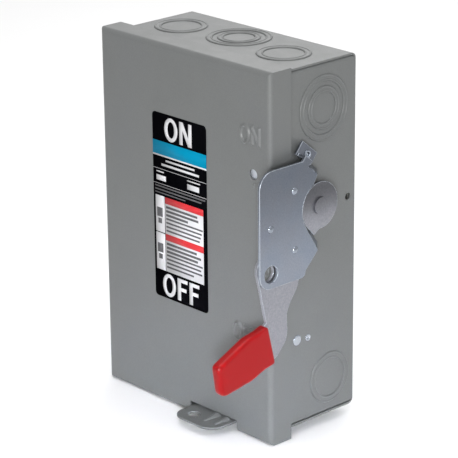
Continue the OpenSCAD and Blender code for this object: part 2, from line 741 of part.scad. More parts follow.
function neutral_z(i) = neutral_from + neutral_len / 2 + (i - (neutral_holes - 1) / 2) * neutral_pitch;

module neutral_bar() color([0.76, 0.77, 0.78]) difference() {
  block([neutral_x - 5.5, -33, neutral_from], [neutral_x + 5.5, -20, neutral_from + neutral_len]);
  for (i = [0 : neutral_holes - 1]) {
    rod_x(neutral_x - 7, neutral_x + 7, [-26, neutral_z(i)], 3);
    rod_y(-34, -26, [neutral_x, neutral_z(i)], 2.4);
  }
}

module neutral_screws() color([0.6, 0.61, 0.63]) for (i = [0 : neutral_holes - 1])
  screw_y([neutral_x, neutral_z(i)], -33, 3.4, 2, 2.4, 3.5);

ground_x = [-14, 14];
ground_z = -121;
ground_places = [-9, 0, 9];

module ground_bar() color([0.76, 0.77, 0.78]) difference() {
  block([ground_x[0], -13.5, ground_z], [ground_x[1], back_in, ground_z + 10]);
  for (x = ground_places) {
    rod_z(ground_z - 1, ground_z + 11, [x, -7.5], 2.4);
    rod_y(-14.5, -7.5, [x, ground_z + 5], 2.4);
  }
}

module ground_screws() color([0.2, 0.5, 0.25]) for (x = ground_places)
  screw_y([x, ground_z + 5], -13.5, 3.6, 2, 2.4, 3);

enclosure_wrap();
side_wall_left();
side_wall_right();
side_wall_rivets();
hasp_plate();
guard_plate();
guard_rivet();
shaft_bushing();
hinge_leaf_box();
hinge_pins();
cover();
cover_label();
hinge_leaf_cover();
cover_catch();
handle_arm();
handle_grip();
pivot_shaft();
drive_crank();
toggle_guide();
toggle_spring();
interlock_slide();
interlock_keeper();
rotor_bar();
switch_blades();
mechanism_bracket();
trunnion_pin();
switch_base();
base_screws();
line_lugs();
line_lug_screws();
line_jaws();
load_jaws();
fuse_clips();
fuse_tubes();
fuse_caps();
load_lugs();
load_lug_screws();
line_shield();
neutral_block();
neutral_bar();
neutral_screws();
ground_bar();
ground_screws();
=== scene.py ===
"""Looks for an enclosed safety switch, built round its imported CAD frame.

+X is the handle side, the cover faces -Y and +Z is up. Every piece is made in the frame's own
coordinates, so its object sits at the origin. Places and sizes are in mm, and they are turned to metres
where a mesh is made. Finishes and the stage are in metres.
"""

import json
import math

import bmesh
import bpy
import numpy as np
from mathutils import Matrix, Vector


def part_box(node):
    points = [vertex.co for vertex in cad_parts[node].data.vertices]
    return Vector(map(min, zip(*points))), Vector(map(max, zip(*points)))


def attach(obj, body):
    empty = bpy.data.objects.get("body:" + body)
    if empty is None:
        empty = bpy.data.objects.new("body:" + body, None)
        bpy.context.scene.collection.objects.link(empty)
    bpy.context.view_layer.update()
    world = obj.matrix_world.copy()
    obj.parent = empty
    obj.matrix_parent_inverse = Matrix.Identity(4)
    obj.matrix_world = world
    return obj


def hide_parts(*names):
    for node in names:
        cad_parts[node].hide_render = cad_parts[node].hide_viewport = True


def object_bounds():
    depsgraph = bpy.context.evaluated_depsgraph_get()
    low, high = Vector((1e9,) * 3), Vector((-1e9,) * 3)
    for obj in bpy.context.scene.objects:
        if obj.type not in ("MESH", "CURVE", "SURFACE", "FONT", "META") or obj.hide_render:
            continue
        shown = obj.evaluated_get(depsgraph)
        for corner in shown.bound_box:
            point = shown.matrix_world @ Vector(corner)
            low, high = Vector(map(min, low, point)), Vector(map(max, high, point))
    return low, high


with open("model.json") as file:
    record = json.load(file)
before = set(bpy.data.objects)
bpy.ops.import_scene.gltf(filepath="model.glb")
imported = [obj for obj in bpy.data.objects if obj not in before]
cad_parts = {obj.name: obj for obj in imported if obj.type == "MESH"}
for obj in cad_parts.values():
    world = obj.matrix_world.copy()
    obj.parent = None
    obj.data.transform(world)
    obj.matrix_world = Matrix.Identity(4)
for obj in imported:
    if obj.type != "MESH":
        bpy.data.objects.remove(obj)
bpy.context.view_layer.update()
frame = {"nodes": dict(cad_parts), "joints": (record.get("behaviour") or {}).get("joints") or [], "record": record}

MM = 0.001
RECORD = frame["record"]
JOINTS = {joint["name"]: joint for joint in frame["joints"]}
BODY_OF = {node: body for body, nodes in RECORD["behaviour"]["bodies"].items() for node in nodes}
SLOT_OF = {part["node"]: part["material_slot"] for part in RECORD["subparts"]}


# ---------- materials ----------


def noise(tree, size, detail=2.0, seed=0.0):
    """The factor of a noise whose blobs are about size metres across, in object coordinates."""
    place = tree.nodes.new("ShaderNodeTexCoord")
    shift = tree.nodes.new("ShaderNodeVectorMath")
    shift.inputs[1].default_value = (seed, 2 * seed, -seed)
    made = tree.nodes.new("ShaderNodeTexNoise")
    made.inputs["Scale"].default_value = 1 / size
    made.inputs["Detail"].default_value = detail
    tree.links.new(place.outputs["Object"], shift.inputs[0])
    tree.links.new(shift.outputs[0], made.inputs["Vector"])
    return made.outputs["Fac"]


def ramp(tree, factor, colours, low=0.2, high=0.8):
    """Colours spread evenly over the middle of a factor."""
    made = tree.nodes.new("ShaderNodeValToRGB")
    stops = made.color_ramp.elements
    while len(stops) < len(colours):
        stops.new(0.5)
    for i, (stop, colour) in enumerate(zip(stops, colours)):
        stop.position = low + (high - low) * i / (len(colours) - 1)
        stop.color = (*colour, 1)
    tree.links.new(factor, made.inputs["Fac"])
    return made.outputs["Color"]


def spread(tree, factor, low, high):
    """A factor's middle range mapped to low..high."""
    made = tree.nodes.new("ShaderNodeMapRange")
    for socket, value in (("From Min", 0.2), ("From Max", 0.8), ("To Min", low), ("To Max", high)):
        made.inputs[socket].default_value = value
    tree.links.new(factor, made.inputs["Value"])
    return made.outputs["Result"]


def surface(name, colours, rough, patch=0.03, grain=0.0006, relief=0.00002, metallic=0.0, speck=None,
            coat=0.0, shine=0.5, painted_shade=None):
    """A finish with three layers: large colour patches, uneven gloss, and a fine relief.

    patch and grain are sizes, and relief is the bump's height. speck is (size, colour, share), for small
    flecks of another colour. The last one, (z low, z high, share), is painted shade: it darkens the
    finish towards z high.
    """
    made = bpy.data.materials.new(name)
    made.use_nodes = True
    tree = made.node_tree
    shader = tree.nodes["Principled BSDF"]
    shader.inputs["Metallic"].default_value = metallic
    shader.inputs["Specular IOR Level"].default_value = shine
    shader.inputs["Coat Weight"].default_value = coat
    shader.inputs["Coat Roughness"].default_value = 0.2
    colour = ramp(tree, noise(tree, patch, 4.0), colours)
    if speck:
        size, fleck, share = speck
        mix = tree.nodes.new("ShaderNodeMix")
        mix.data_type = "RGBA"
        mix.inputs["B"].default_value = (*fleck, 1)
        tree.links.new(spread(tree, noise(tree, size, 3.0, 0.37), 0.0, share), mix.inputs["Factor"])
        tree.links.new(colour, mix.inputs["A"])
        colour = mix.outputs["Result"]
    # painted shade: the colour is scaled darker towards z high
    if painted_shade:
        place = tree.nodes.new("ShaderNodeTexCoord")
        split = tree.nodes.new("ShaderNodeSeparateXYZ")
        shade_by_height = tree.nodes.new("ShaderNodeMapRange")
        shade_by_height.interpolation_type = "SMOOTHSTEP"
        low, high, share = painted_shade
        for socket, value in (("From Min", low), ("From Max", high), ("To Min", 1.0), ("To Max", share)):
            shade_by_height.inputs[socket].default_value = value
        scale = tree.nodes.new("ShaderNodeVectorMath")
        scale.operation = "SCALE"
        tree.links.new(place.outputs["Object"], split.inputs[0])
        tree.links.new(split.outputs["Z"], shade_by_height.inputs["Value"])
        tree.links.new(colour, scale.inputs[0])
        tree.links.new(shade_by_height.outputs["Result"], scale.inputs["Scale"])
        colour = scale.outputs[0]
    tree.links.new(colour, shader.inputs["Base Color"])
    tree.links.new(spread(tree, noise(tree, patch / 3, 3.0, 0.71), *rough), shader.inputs["Roughness"])
    bump = tree.nodes.new("ShaderNodeBump")
    bump.inputs["Distance"].default_value = relief
    tree.links.new(noise(tree, grain, 2.0, 0.13), bump.inputs["Height"])
    tree.links.new(bump.outputs["Normal"], shader.inputs["Normal"])
    return made


PAINT = surface("grey_powder_coat", [(0.1205, 0.127, 0.1255), (0.132, 0.1375, 0.136),
                (0.1265, 0.132, 0.1355)], (0.33, 0.45), patch=0.045, grain=0.0011, relief=0.00006,
                speck=(0.0006, (0.086, 0.09, 0.09), 0.62))
# the guard's zinc is darker towards the top: painted shade, for how the light falls on the plate
ZINC = surface("bright_zinc", [(0.190, 0.222, 0.285), (0.222, 0.253, 0.308), (0.235, 0.253, 0.296),
               (0.204, 0.225, 0.297)], (0.30, 0.46), patch=0.022, grain=0.0004, relief=0.000012,
               metallic=0.9, speck=(0.0011, (0.33, 0.36, 0.42), 0.6), painted_shade=(-0.012, 0.066, 0.55))
# the lever's zinc is darker towards the top of the hub: painted shade, for how the light falls on it
ZINC_LEVER = surface("lever_zinc", [(0.200, 0.206, 0.236), (0.240, 0.246, 0.276),
                     (0.252, 0.254, 0.280)], (0.34, 0.50), patch=0.026, grain=0.0005, relief=0.000014,
                     metallic=0.85, speck=(0.0012, (0.37, 0.37, 0.40), 0.75), painted_shade=(0.017, 0.045, 0.36))
ZINC_INSIDE = surface("inner_zinc", [(0.52, 0.54, 0.52), (0.60, 0.60, 0.55), (0.56, 0.58, 0.60)],
                      (0.30, 0.46), patch=0.012, grain=0.0005, relief=0.00001, metallic=0.9)
RIVET = surface("rivet_plating", [(0.42, 0.46, 0.52), (0.47, 0.50, 0.55)], (0.20, 0.26), patch=0.012,
                grain=0.0008, relief=0.000002, metallic=0.95)
STEEL = surface("screw_steel", [(0.52, 0.53, 0.55), (0.62, 0.62, 0.62)], (0.25, 0.42), patch=0.004,
                grain=0.0003, relief=0.000012, metallic=0.95)
# the interlock slide's zinc is lighter and duller than the other inner parts, so that it shows bright through the
# key hole; this is painted light
SLIDE = surface("slide_zinc", [(0.58, 0.62, 0.68), (0.68, 0.71, 0.76)], (0.45, 0.60), patch=0.006,
                grain=0.0006, relief=0.00001, metallic=0.2)
# a lighter, glossier zinc for rounded edges: a painted highlight along them
EDGE_HIGHLIGHT = surface("zinc_edge_highlight", [(0.38, 0.42, 0.48), (0.48, 0.51, 0.56)], (0.22, 0.34), patch=0.01,
               grain=0.0005, relief=0.000006, metallic=0.9)
# the guard's domes and its rivet: lighter than the guard's zinc, in part a painted highlight
DIMPLE = surface("dimple_zinc", [(0.27, 0.30, 0.35), (0.32, 0.35, 0.40)], (0.15, 0.19), patch=0.012,
                 grain=0.0008, relief=0.000001, metallic=0.95)
VINYL = surface("red_vinyl", [(0.223, 0.002, 0.003), (0.233, 0.003, 0.004)], (0.28, 0.29), patch=0.05,
                grain=0.0012, relief=0.000006, coat=0.05, shine=0.16)
FILM = surface("label_film", [(0.0015, 0.0015, 0.002), (0.003, 0.003, 0.004)], (0.38, 0.48),
               patch=0.015, grain=0.0010, relief=0.000006, shine=0.0)
INK_WHITE = surface("ink_white", [(0.52, 0.52, 0.535), (0.56, 0.56, 0.57)], (0.34, 0.44), patch=0.012,
                    grain=0.0008, relief=0.000004, shine=0.12)
INK_TEAL = surface("ink_teal", [(0.0005, 0.195, 0.335), (0.001, 0.215, 0.360)], (0.30, 0.40),
                   patch=0.012, grain=0.0008, relief=0.000004, shine=0.03)
INK_RED = surface("ink_red", [(0.50, 0.026, 0.032), (0.55, 0.034, 0.040)], (0.30, 0.40), patch=0.012,
                  grain=0.0008, relief=0.000004, shine=0.12)
INK_GREY = surface("ink_grey", [(0.075, 0.075, 0.08), (0.11, 0.11, 0.115)], (0.40, 0.50), patch=0.006,
                   grain=0.0008, relief=0.000004, shine=0.12)
PHENOLIC = surface("black_phenolic", [(0.012, 0.012, 0.013), (0.020, 0.020, 0.021)], (0.32, 0.50),
                   patch=0.015, grain=0.0005, relief=0.00002,
                   speck=(0.0004, (0.035, 0.035, 0.036), 0.4))
BROWN = surface("brown_phenolic", [(0.040, 0.024, 0.018), (0.060, 0.036, 0.026)], (0.30, 0.46),
                patch=0.012, grain=0.0005, relief=0.00002, speck=(0.0004, (0.09, 0.06, 0.045), 0.35))
COPPER = surface("tinned_copper", [(0.58, 0.28, 0.17), (0.66, 0.35, 0.22), (0.60, 0.33, 0.24)],
                 (0.24, 0.42), patch=0.008, grain=0.0004, relief=0.00001, metallic=0.95,
                 speck=(0.001, (0.70, 0.50, 0.38), 0.3))
LUG = surface("lug_aluminium", [(0.62, 0.63, 0.64), (0.72, 0.72, 0.73)], (0.26, 0.40), patch=0.006,
              grain=0.00025, relief=0.00001, metallic=0.95)
FIBRE = surface("fuse_fibre", [(0.60, 0.50, 0.30), (0.70, 0.60, 0.40)], (0.38, 0.55), patch=0.006,
                grain=0.0006, relief=0.00002, speck=(0.0006, (0.46, 0.36, 0.2), 0.35))
CAP = surface("fuse_brass", [(0.72, 0.50, 0.20), (0.80, 0.60, 0.28)], (0.18, 0.32), patch=0.006,
              grain=0.0004, relief=0.000008, metallic=0.95)
BRONZE = surface("bearing_bronze", [(0.46, 0.38, 0.22), (0.56, 0.47, 0.28)], (0.36, 0.52), patch=0.004,
                 grain=0.0003, relief=0.000015, metallic=0.85)
IVORY = surface("ivory_moulding", [(0.66, 0.62, 0.52), (0.74, 0.70, 0.61)], (0.34, 0.48), patch=0.01,
                grain=0.0007, relief=0.000015)
GREEN = surface("green_screw", [(0.012, 0.13, 0.035), (0.02, 0.19, 0.055)], (0.26, 0.42), patch=0.004,
                grain=0.0003, relief=0.00001, metallic=0.5)


# ---------- mesh helpers ----------

# vertices closer than this, in mm, are one
WELD = 0.004


def add_piece(name, mesh, body, slot, material, replaced=(), edge=None):
    """Links a finished mesh, puts it on its body and hides the CAD nodes it stands for.

    edge is the finish of the edges that a bevel with finish=1 has rounded. On the guard and the lever it is
    a lighter zinc, a painted highlight along their edges.
    """
    piece = bpy.data.objects.new(name, mesh)
    bpy.context.scene.collection.objects.link(piece)
    finishes = [0] * len(mesh.polygons)
    if edge:
        mesh.polygons.foreach_get("material_index", finishes)
    mesh.materials.clear()
    for finish in filter(None, (material, edge)):
        mesh.materials.append(finish)
    mesh.polygons.foreach_set("material_index", finishes)
    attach(piece, body)
    if replaced:
        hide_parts(*replaced)
    return piece


def shaded(bm, modifiers=(), weighted=True):
    """The mesh of bm, smooth-shaded, after a list of (type, settings) modifiers."""
    mesh = bpy.data.meshes.new("made")
    # two empty slots, so that a bevel can mark its faces with the second
    mesh.materials.append(None)
    mesh.materials.append(None)
    bmesh.ops.recalc_face_normals(bm, faces=bm.faces)
    bm.to_mesh(mesh)
    bm.free()
    mesh.polygons.foreach_set("use_smooth", [True] * len(mesh.polygons))
    steps = list(modifiers)
    if weighted:
        steps.append(("WEIGHTED_NORMAL", {"keep_sharp": True, "weight": 60}))
    if not steps:
        return mesh
    holder = held(mesh)
    add_modifiers(holder, steps)
    return released(holder)


def held(data):
    """A passing object round a mesh or a curve."""
    holder = bpy.data.objects.new("holder", data)
    bpy.context.scene.collection.objects.link(holder)
    return holder


def add_modifiers(holder, steps):
    for kind, settings in steps:
        modifier = holder.modifiers.new(kind, kind)
        for key, value in settings.items():
            setattr(modifier, key, value)


def released(holder):
    """The mesh that a passing object comes to, with the object gone."""
    final = bpy.data.meshes.new_from_object(holder.evaluated_get(bpy.context.evaluated_depsgraph_get()))
    bpy.data.objects.remove(holder)
    return final


def bevel(width_mm, segments=2, angle=28, finish=-1, clamp=True):
    """Settings for rounded edges; without clamp a short edge somewhere doesn't narrow all the others."""
    return ("BEVEL", {"width": width_mm * MM, "segments": segments, "material": finish,
                      "limit_method": "ANGLE", "angle_limit": math.radians(angle),
                      "miter_outer": "MITER_ARC" if clamp else "MITER_SHARP", "use_clamp_overlap": clamp})


def cad_shape(node):
    """A CAD node's shape with its triangles joined back into flat faces."""
    bm = bmesh.new()
    bm.from_mesh(frame["nodes"][node].data)
    bmesh.ops.remove_doubles(bm, verts=bm.verts, dist=WELD * MM)
    flatten(bm)
    return bm


def flatten(bm):
    """Joins neighbouring faces that lie in one plane."""
    bmesh.ops.dissolve_limit(bm, angle_limit=math.radians(0.8), verts=bm.verts, edges=bm.edges)


def detail(node, material, width_mm):
    """Stands for a CAD node: the same shape, with rounded edges where a width is given."""
    mesh = shaded(cad_shape(node), [bevel(width_mm)] if width_mm else [])
    add_piece(node + "_piece", mesh, BODY_OF[node], SLOT_OF[node], material, [node])


def joined(meshes):
    """One mesh out of several."""
    bm = bmesh.new()
    for mesh in meshes:
        bm.from_mesh(mesh)
    whole = bpy.data.meshes.new("joined")
    bm.to_mesh(whole)
    bm.free()
    whole.polygons.foreach_set("use_smooth", [True] * len(whole.polygons))
    return whole


def lathe(profile_mm, origin, axis, steps=40):
    """A turned mesh from (radius, height) points in mm; heights run along axis from origin, in metres."""
    bm = bmesh.new()
    turn = Vector((0, 0, 1)).rotation_difference(Vector(axis)).to_matrix()
    loops = []
    for radius, height in profile_mm:
        angles = [2 * math.pi * i / steps for i in range(steps if radius > 0 else 1)]
        spots = [Vector((radius * math.cos(a), radius * math.sin(a), height)) * MM for a in angles]
        loops.append([bm.verts.new(Vector(origin) + turn @ spot) for spot in spots])
    for low, high in zip(loops, loops[1:]):
        for i in range(steps):
            j = (i + 1) % steps
            corners = [low[i % len(low)], low[j % len(low)], high[j % len(high)], high[i % len(high)]]
            unique = list(dict.fromkeys(corners))
            if len(unique) > 2:
                bm.faces.new(unique)
    bmesh.ops.remove_doubles(bm, verts=bm.verts, dist=0.001 * MM)
    return shaded(bm, weighted=False)


def flat_shape(loops_mm, thickness_mm):
    """A plate from closed (x, y) outlines in mm, holes among them, with its middle plane at z = 0."""
    curve = bpy.data.curves.new("outline", "CURVE")
    curve.dimensions = "2D"
    curve.fill_mode = "BOTH"
    for loop in loops_mm:
        line = curve.splines.new("POLY")
        line.points.add(len(loop) - 1)
        line.points.foreach_set("co", [v for x, y in loop for v in (x, y, 0.0, 1.0)])
        line.use_cyclic_u = True
    curve.extrude = thickness_mm / 2
    bm = bmesh.new()
    bm.from_mesh(released(held(curve)))
    bmesh.ops.remove_doubles(bm, verts=bm.verts, dist=0.002)
    bmesh.ops.scale(bm, vec=(MM, MM, MM), verts=bm.verts)
    return bm


def upright(bm, y):
    """Stands a flat shape up, to face the front, with its middle plane at y metres."""
    matrix = Matrix.Translation((0, y, 0)) @ Matrix.Rotation(math.pi / 2, 4, "X")
    bmesh.ops.transform(bm, matrix=matrix, verts=bm.verts)
    return bm


def merged(parts):
    """One bmesh out of several, which are freed."""
    whole = bmesh.new()
    for part in parts:
        mesh = bpy.data.meshes.new("part")
        part.to_mesh(mesh)
        part.free()
        whole.from_mesh(mesh)
        bpy.data.meshes.remove(mesh)
    return whole


# ---------- letters, for ON and OFF ----------

# stroke lines for letters of height 1, and how far each letter moves the next one
STROKES = {
    "O": [[(0.36 + 0.29 * math.sin(a * math.pi / 16), 0.5 + 0.43 * math.cos(a * math.pi / 16))
           for a in range(33)]],
    "N": [[(0.09, 0.07), (0.09, 0.93), (0.59, 0.07), (0.59, 0.93)]],
    "F": [[(0.09, 0.07), (0.09, 0.93), (0.53, 0.93)], [(0.09, 0.52), (0.46, 0.52)]],
}
ADVANCE = {"O": 0.79, "N": 0.74, "F": 0.62}


def oval(middle, radii, steps=40):
    return [(middle[0] + radii[0] * math.cos(2 * math.pi * i / steps),
             middle[1] + radii[1] * math.sin(2 * math.pi * i / steps)) for i in range(steps)]


# closed outlines of printed letters of height 1
LETTER_LOOPS = {
    "O": [oval((0.37, 0.5), (0.37, 0.52)), oval((0.37, 0.5), (0.185, 0.36))],
    "N": [[(0, 0), (0, 1), (0.20, 1), (0.50, 0.36), (0.50, 1), (0.68, 1), (0.68, 0), (0.48, 0),
           (0.18, 0.64), (0.18, 0)]],
    "F": [[(0, 0), (0, 1), (0.56, 1), (0.56, 0.84), (0.19, 0.84), (0.19, 0.60), (0.50, 0.60),
           (0.50, 0.44), (0.19, 0.44), (0.19, 0)]],
}


def segment_distance(points, a, b):
    """Distances of (n, 2) points from the segment a-b."""
    along = np.clip(((points - a) @ (b - a)) / max(float((b - a) @ (b - a)), 1e-12), 0, 1)
    return np.linalg.norm(points - (a + along[:, None] * (b - a)), axis=1)


def word_distance(points, word, corner, height):
    """Distances of (x, z) points from a word's stroke lines; corner is its lower left."""
    nearest = np.full(len(points), 1e9)
    x = corner[0]
    for letter in word:
        for line in STROKES[letter]:
            spots = [np.array((x + u * height, corner[1] + v * height)) for u, v in line]
            for a, b in zip(spots, spots[1:]):
                nearest = np.minimum(nearest, segment_distance(points, a, b))
        x += ADVANCE[letter] * height
    return nearest


def soft_step(distance, half_width, blur):
    """1 well inside half_width, 0 well outside it, with a smooth change across the blur."""
    t = np.clip((half_width + blur - distance) / (2 * blur), 0, 1)
    return t * t * (3 - 2 * t)


# ---------- cover ----------

# sheet thickness, and the bends' outer radius and facets
COVER_T = 1.2
COVER_BEND = 4.0
BEND_STEPS = 7
# embossed words: how far they stand out, their lower left corners (x, z), letter height, half stroke
EMBOSS = 1.5
ON_AT = (54.2, 79.0)
OFF_AT = (46.0, -66.0)
EMBOSS_H = 13.6
STROKE = 0.9
# the interlock defeater's hole and the small pressed dimple below it: centres (x, z) and radii
KEY_HOLE = (66.8, 58.5)
KEY_HOLE_R = 3.8
KEY_DIMPLE = (67.5, 51.2)
KEY_DIMPLE_R = 1.2
KEY_DIMPLE_H = 0.8
KEY_DIMPLE_BLUR = 0.7
# the face's grid is fine in these bands of x and z, round the words and the dimple
FINE_X = [(45.0, 76.0)]
FINE_Z = [(-67.0, -51.0), (49.5, 53.0), (78.0, 94.0)]
# the notch over the padlock tab, and how deep the cutters go behind the face and stand out of it
NOTCH_X = (0.0, 48.5)
NOTCH_TOP = -128.8
NOTCH_CUT = 30
KEY_CUT = 4
CUT_PAST = 2


def face_relief(points):
    """How far the cover's face stands out, in mm, at (x, z) points in mm."""
    on = word_distance(points, "ON", ON_AT, EMBOSS_H)
    off = word_distance(points, "OFF", OFF_AT, EMBOSS_H)
    dimple = np.linalg.norm(points - np.array(KEY_DIMPLE), axis=1)
    relief = EMBOSS * soft_step(np.minimum(on, off), STROKE, STROKE)
    return relief + KEY_DIMPLE_H * soft_step(dimple, KEY_DIMPLE_R, KEY_DIMPLE_BLUR)


def grid_lines(low, high, fine, step=12.0, pitch=0.45):
    """Places from low to high: pitch apart inside the fine ranges and about step apart elsewhere."""
    lines = []
    edges = [low] + [v for pair in fine for v in pair] + [high]
    for i, (a, b) in enumerate(zip(edges, edges[1:])):
        count = max(1, round((b - a) / (pitch if i % 2 else step)))
        lines += [a + (b - a) * k / count for k in range(count)]
    return lines + [high]


def cover_mesh():
    """The cover's outer skin: an embossed face, four bends and four flanges."""
    low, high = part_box("cover")
    x0, z0, x1, z1 = low.x / MM, low.z / MM, high.x / MM, high.z / MM
    face_y, rear_y = low.y / MM, high.y / MM
    r = COVER_BEND
    xs = grid_lines(x0 + r, x1 - r, FINE_X)
    zs = grid_lines(z0 + r, z1 - r, FINE_Z)
    spots = np.array([(x, z) for z in zs for x in xs])
    relief = face_relief(spots).reshape(len(zs), len(xs))
    bm = bmesh.new()
    face = [[bm.verts.new((x, face_y - relief[j, i], z)) for i, x in enumerate(xs)]
            for j, z in enumerate(zs)]
    for j in range(len(zs) - 1):
        for i in range(len(xs) - 1):
            bm.faces.new((face[j][i], face[j][i + 1], face[j + 1][i + 1], face[j + 1][i]))
    # the section of a bend and its flange: (how far out, how far back) from the face's edge
    turns = [math.pi / 2 * k / BEND_STEPS for k in range(1, BEND_STEPS + 1)]
    section = [(r * math.sin(a), r * (1 - math.cos(a))) for a in turns] + [(r, rear_y - face_y)]
    # each side of the face: its vertices, their (x, z) places and the way out
    sides = (
        [(face[0][i], (x, z0 + r), (0, -1)) for i, x in enumerate(xs)],
        [(face[j][-1], (x1 - r, z), (1, 0)) for j, z in enumerate(zs)],
        [(face[-1][i], (x, z1 - r), (0, 1)) for i, x in enumerate(xs)],
        [(face[j][0], (x0 + r, z), (-1, 0)) for j, z in enumerate(zs)],
    )
    for side in sides:
        rows = [[vert for vert, _, _ in side]]
        for out, back in section:
            row = []
            for k, (_, (x, z), (nx, nz)) in enumerate(side):
                # at its ends each flange runs out as far as its neighbours, so the corners close
                past = out * (-1 if k == 0 else 1) * (k in (0, len(side) - 1))
                row.append(bm.verts.new((x + nx * out + (past if nz else 0), face_y + back,
                                         z + nz * out + (past if nx else 0))))
            rows.append(row)
        for a, b in zip(rows, rows[1:]):
            for k in range(len(side) - 1):
                bm.faces.new((a[k], a[k + 1], b[k + 1], b[k]))
    bmesh.ops.remove_doubles(bm, verts=bm.verts, dist=0.001)
    bmesh.ops.recalc_face_normals(bm, faces=bm.faces)
    if bm.faces[:][0].normal.y > 0:
        bmesh.ops.reverse_faces(bm, faces=bm.faces)
    bmesh.ops.scale(bm, vec=(MM, MM, MM), verts=bm.verts)
    shell = bpy.data.meshes.new("cover_shell")
    bm.to_mesh(shell)
    bm.free()
    return shell


def box_bm(low, high):
    """A box between two corners in mm."""
    bm = bmesh.new()
    bmesh.ops.create_cube(bm, size=1)
    size = [h - l for l, h in zip(low, high)]
    bmesh.ops.scale(bm, vec=size, verts=bm.verts)
    bmesh.ops.translate(bm, vec=[(h + l) / 2 for l, h in zip(low, high)], verts=bm.verts)
    bmesh.ops.scale(bm, vec=(MM, MM, MM), verts=bm.verts)
    return bm


def cut(mesh, cutters, before=()):
    """mesh with modifiers applied, then less the closed cutters."""
    tool_mesh = bpy.data.meshes.new("tool")
    tool_bm = merged(cutters)
    bmesh.ops.recalc_face_normals(tool_bm, faces=tool_bm.faces)
    tool_bm.to_mesh(tool_mesh)
    tool_bm.free()
    holder, tool = held(mesh), held(tool_mesh)
    add_modifiers(holder, [*before, ("BOOLEAN", {"object": tool, "solver": "EXACT"})])
    made = released(holder)
    bpy.data.objects.remove(tool)
    return made


def cylinder_y(at, radius, y0, y1, steps=48):
    """A closed cylinder along Y round an (x, z) place, all in mm."""
    bm = bmesh.new()
    bmesh.ops.create_cone(bm, cap_ends=True, segments=steps, radius1=radius, radius2=radius,
                          depth=y1 - y0)
    bmesh.ops.rotate(bm, matrix=Matrix.Rotation(math.pi / 2, 3, "X"), verts=bm.verts)
    bmesh.ops.translate(bm, vec=(at[0], (y0 + y1) / 2, at[1]), verts=bm.verts)
    bmesh.ops.scale(bm, vec=(MM, MM, MM), verts=bm.verts)
    return bm


def make_cover():
    low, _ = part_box("cover")
    bottom, front = low.z / MM, low.y / MM
    mesh = cut(cover_mesh(),
               [cylinder_y(KEY_HOLE, KEY_HOLE_R, front - CUT_PAST, front + KEY_CUT),
                box_bm((NOTCH_X[0], front - CUT_PAST, bottom - CUT_PAST),
                       (NOTCH_X[1], front + NOTCH_CUT, NOTCH_TOP))],
               [("SOLIDIFY", {"thickness": COVER_T * MM, "offset": -1, "use_even_offset": True})])
    bm = bmesh.new()
    bm.from_mesh(mesh)
    bmesh.ops.remove_doubles(bm, verts=bm.verts, dist=WELD * MM)
    add_piece("cover_sheet", shaded(bm, [bevel(0.18, angle=40)]), "cover", "paint_grey", PAINT, ["cover"])


make_cover()


# ---------- label ----------

# the film's thickness and corners; a print layer's height over it and depth in it; printed letters
FILM_T = 0.2
FILM_CORNER = 3.0
PRINT_T = 0.03
PRINT_ROOT = 0.05
LETTER_T = 0.06
LETTER_OUT = 0.02
LETTER_H = 16.6
LETTER_WIDEN = 1.12
LETTER_GAP = 0.05
# words' lower left corners, as shares of the label's width and of its height from the top
PRINTED_ON = (0.225, 0.137)
PRINTED_OFF = (0.145, 0.985)
# printed rectangles: (left, right, top, bottom) as shares of the label's width and height
BANDS = [(0.0, 1.0, 0.150, 0.2225)]
LINES = [(0, 1, 0.2225, 0.2305), (0, 1, 0.2985, 0.3005), (0, 1, 0.3790, 0.3810),
         (0.24, 0.78, 0.2440, 0.2540), (0.16, 0.86, 0.2680, 0.2800),
         (0.06, 0.20, 0.3130, 0.3190), (0.06, 0.24, 0.3340, 0.3620),
         (0.64, 0.88, 0.3130, 0.3190), (0.64, 0.86, 0.3340, 0.3620)]
SMALL_PRINT = [(0.03, 0.97, 0.3900, 0.3980), (0.03, 0.90, 0.4080, 0.4160), (0.03, 0.60, 0.4260, 0.4320)]
PANELS = [(0.035, 0.205, 0.4450, 0.6430), (0.035, 0.205, 0.6480, 0.8500), (0.215, 0.930, 0.4450, 0.8500)]
HEADERS = [(0.215, 0.930, 0.4450, 0.4800), (0.215, 0.930, 0.6440, 0.6790)]
BLANKS = [(0.060, 0.165, 0.510, 0.560), (0.060, 0.165, 0.705, 0.755),
          (0.080, 0.150, 0.568, 0.596), (0.080, 0.150, 0.763, 0.791)]
# blank bars in the place of text: the top of each block and its rows' lengths
BAR_BLOCKS = ((0.4800, (0.60, 0.62, 0.42, 0.70, 0.68, 0.66, 0.64)),
              (0.6790, (0.58, 0.66, 0.60, 0.69, 0.66, 0.68, 0.52)))
BAR_LEFT = 0.232
BAR_FULL = 0.98
BAR_FIRST = 0.011
BAR_PITCH = 0.0215
THICK_ROWS = 3
THICK_BAR = 0.0128
THIN_BAR = 0.0098


def label_size():
    """The label's left edge, top edge, width and height in mm."""
    low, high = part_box("cover_label")
    return low.x / MM, high.z / MM, (high.x - low.x) / MM, (high.z - low.z) / MM


def ink(name, shares, material, layer=1):
    """Printed rectangles as one thin piece; layer 2 stands on layer 1."""
    left, top, wide, tall = label_size()
    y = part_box("cover_label")[0].y / MM
    parts = [box_bm((left + u0 * wide, y - PRINT_T * layer, top - v1 * tall),
                    (left + u1 * wide, y + PRINT_ROOT, top - v0 * tall)) for u0, u1, v0, v1 in shares]
    add_piece(name, shaded(merged(parts), weighted=False), "cover", "label", material)


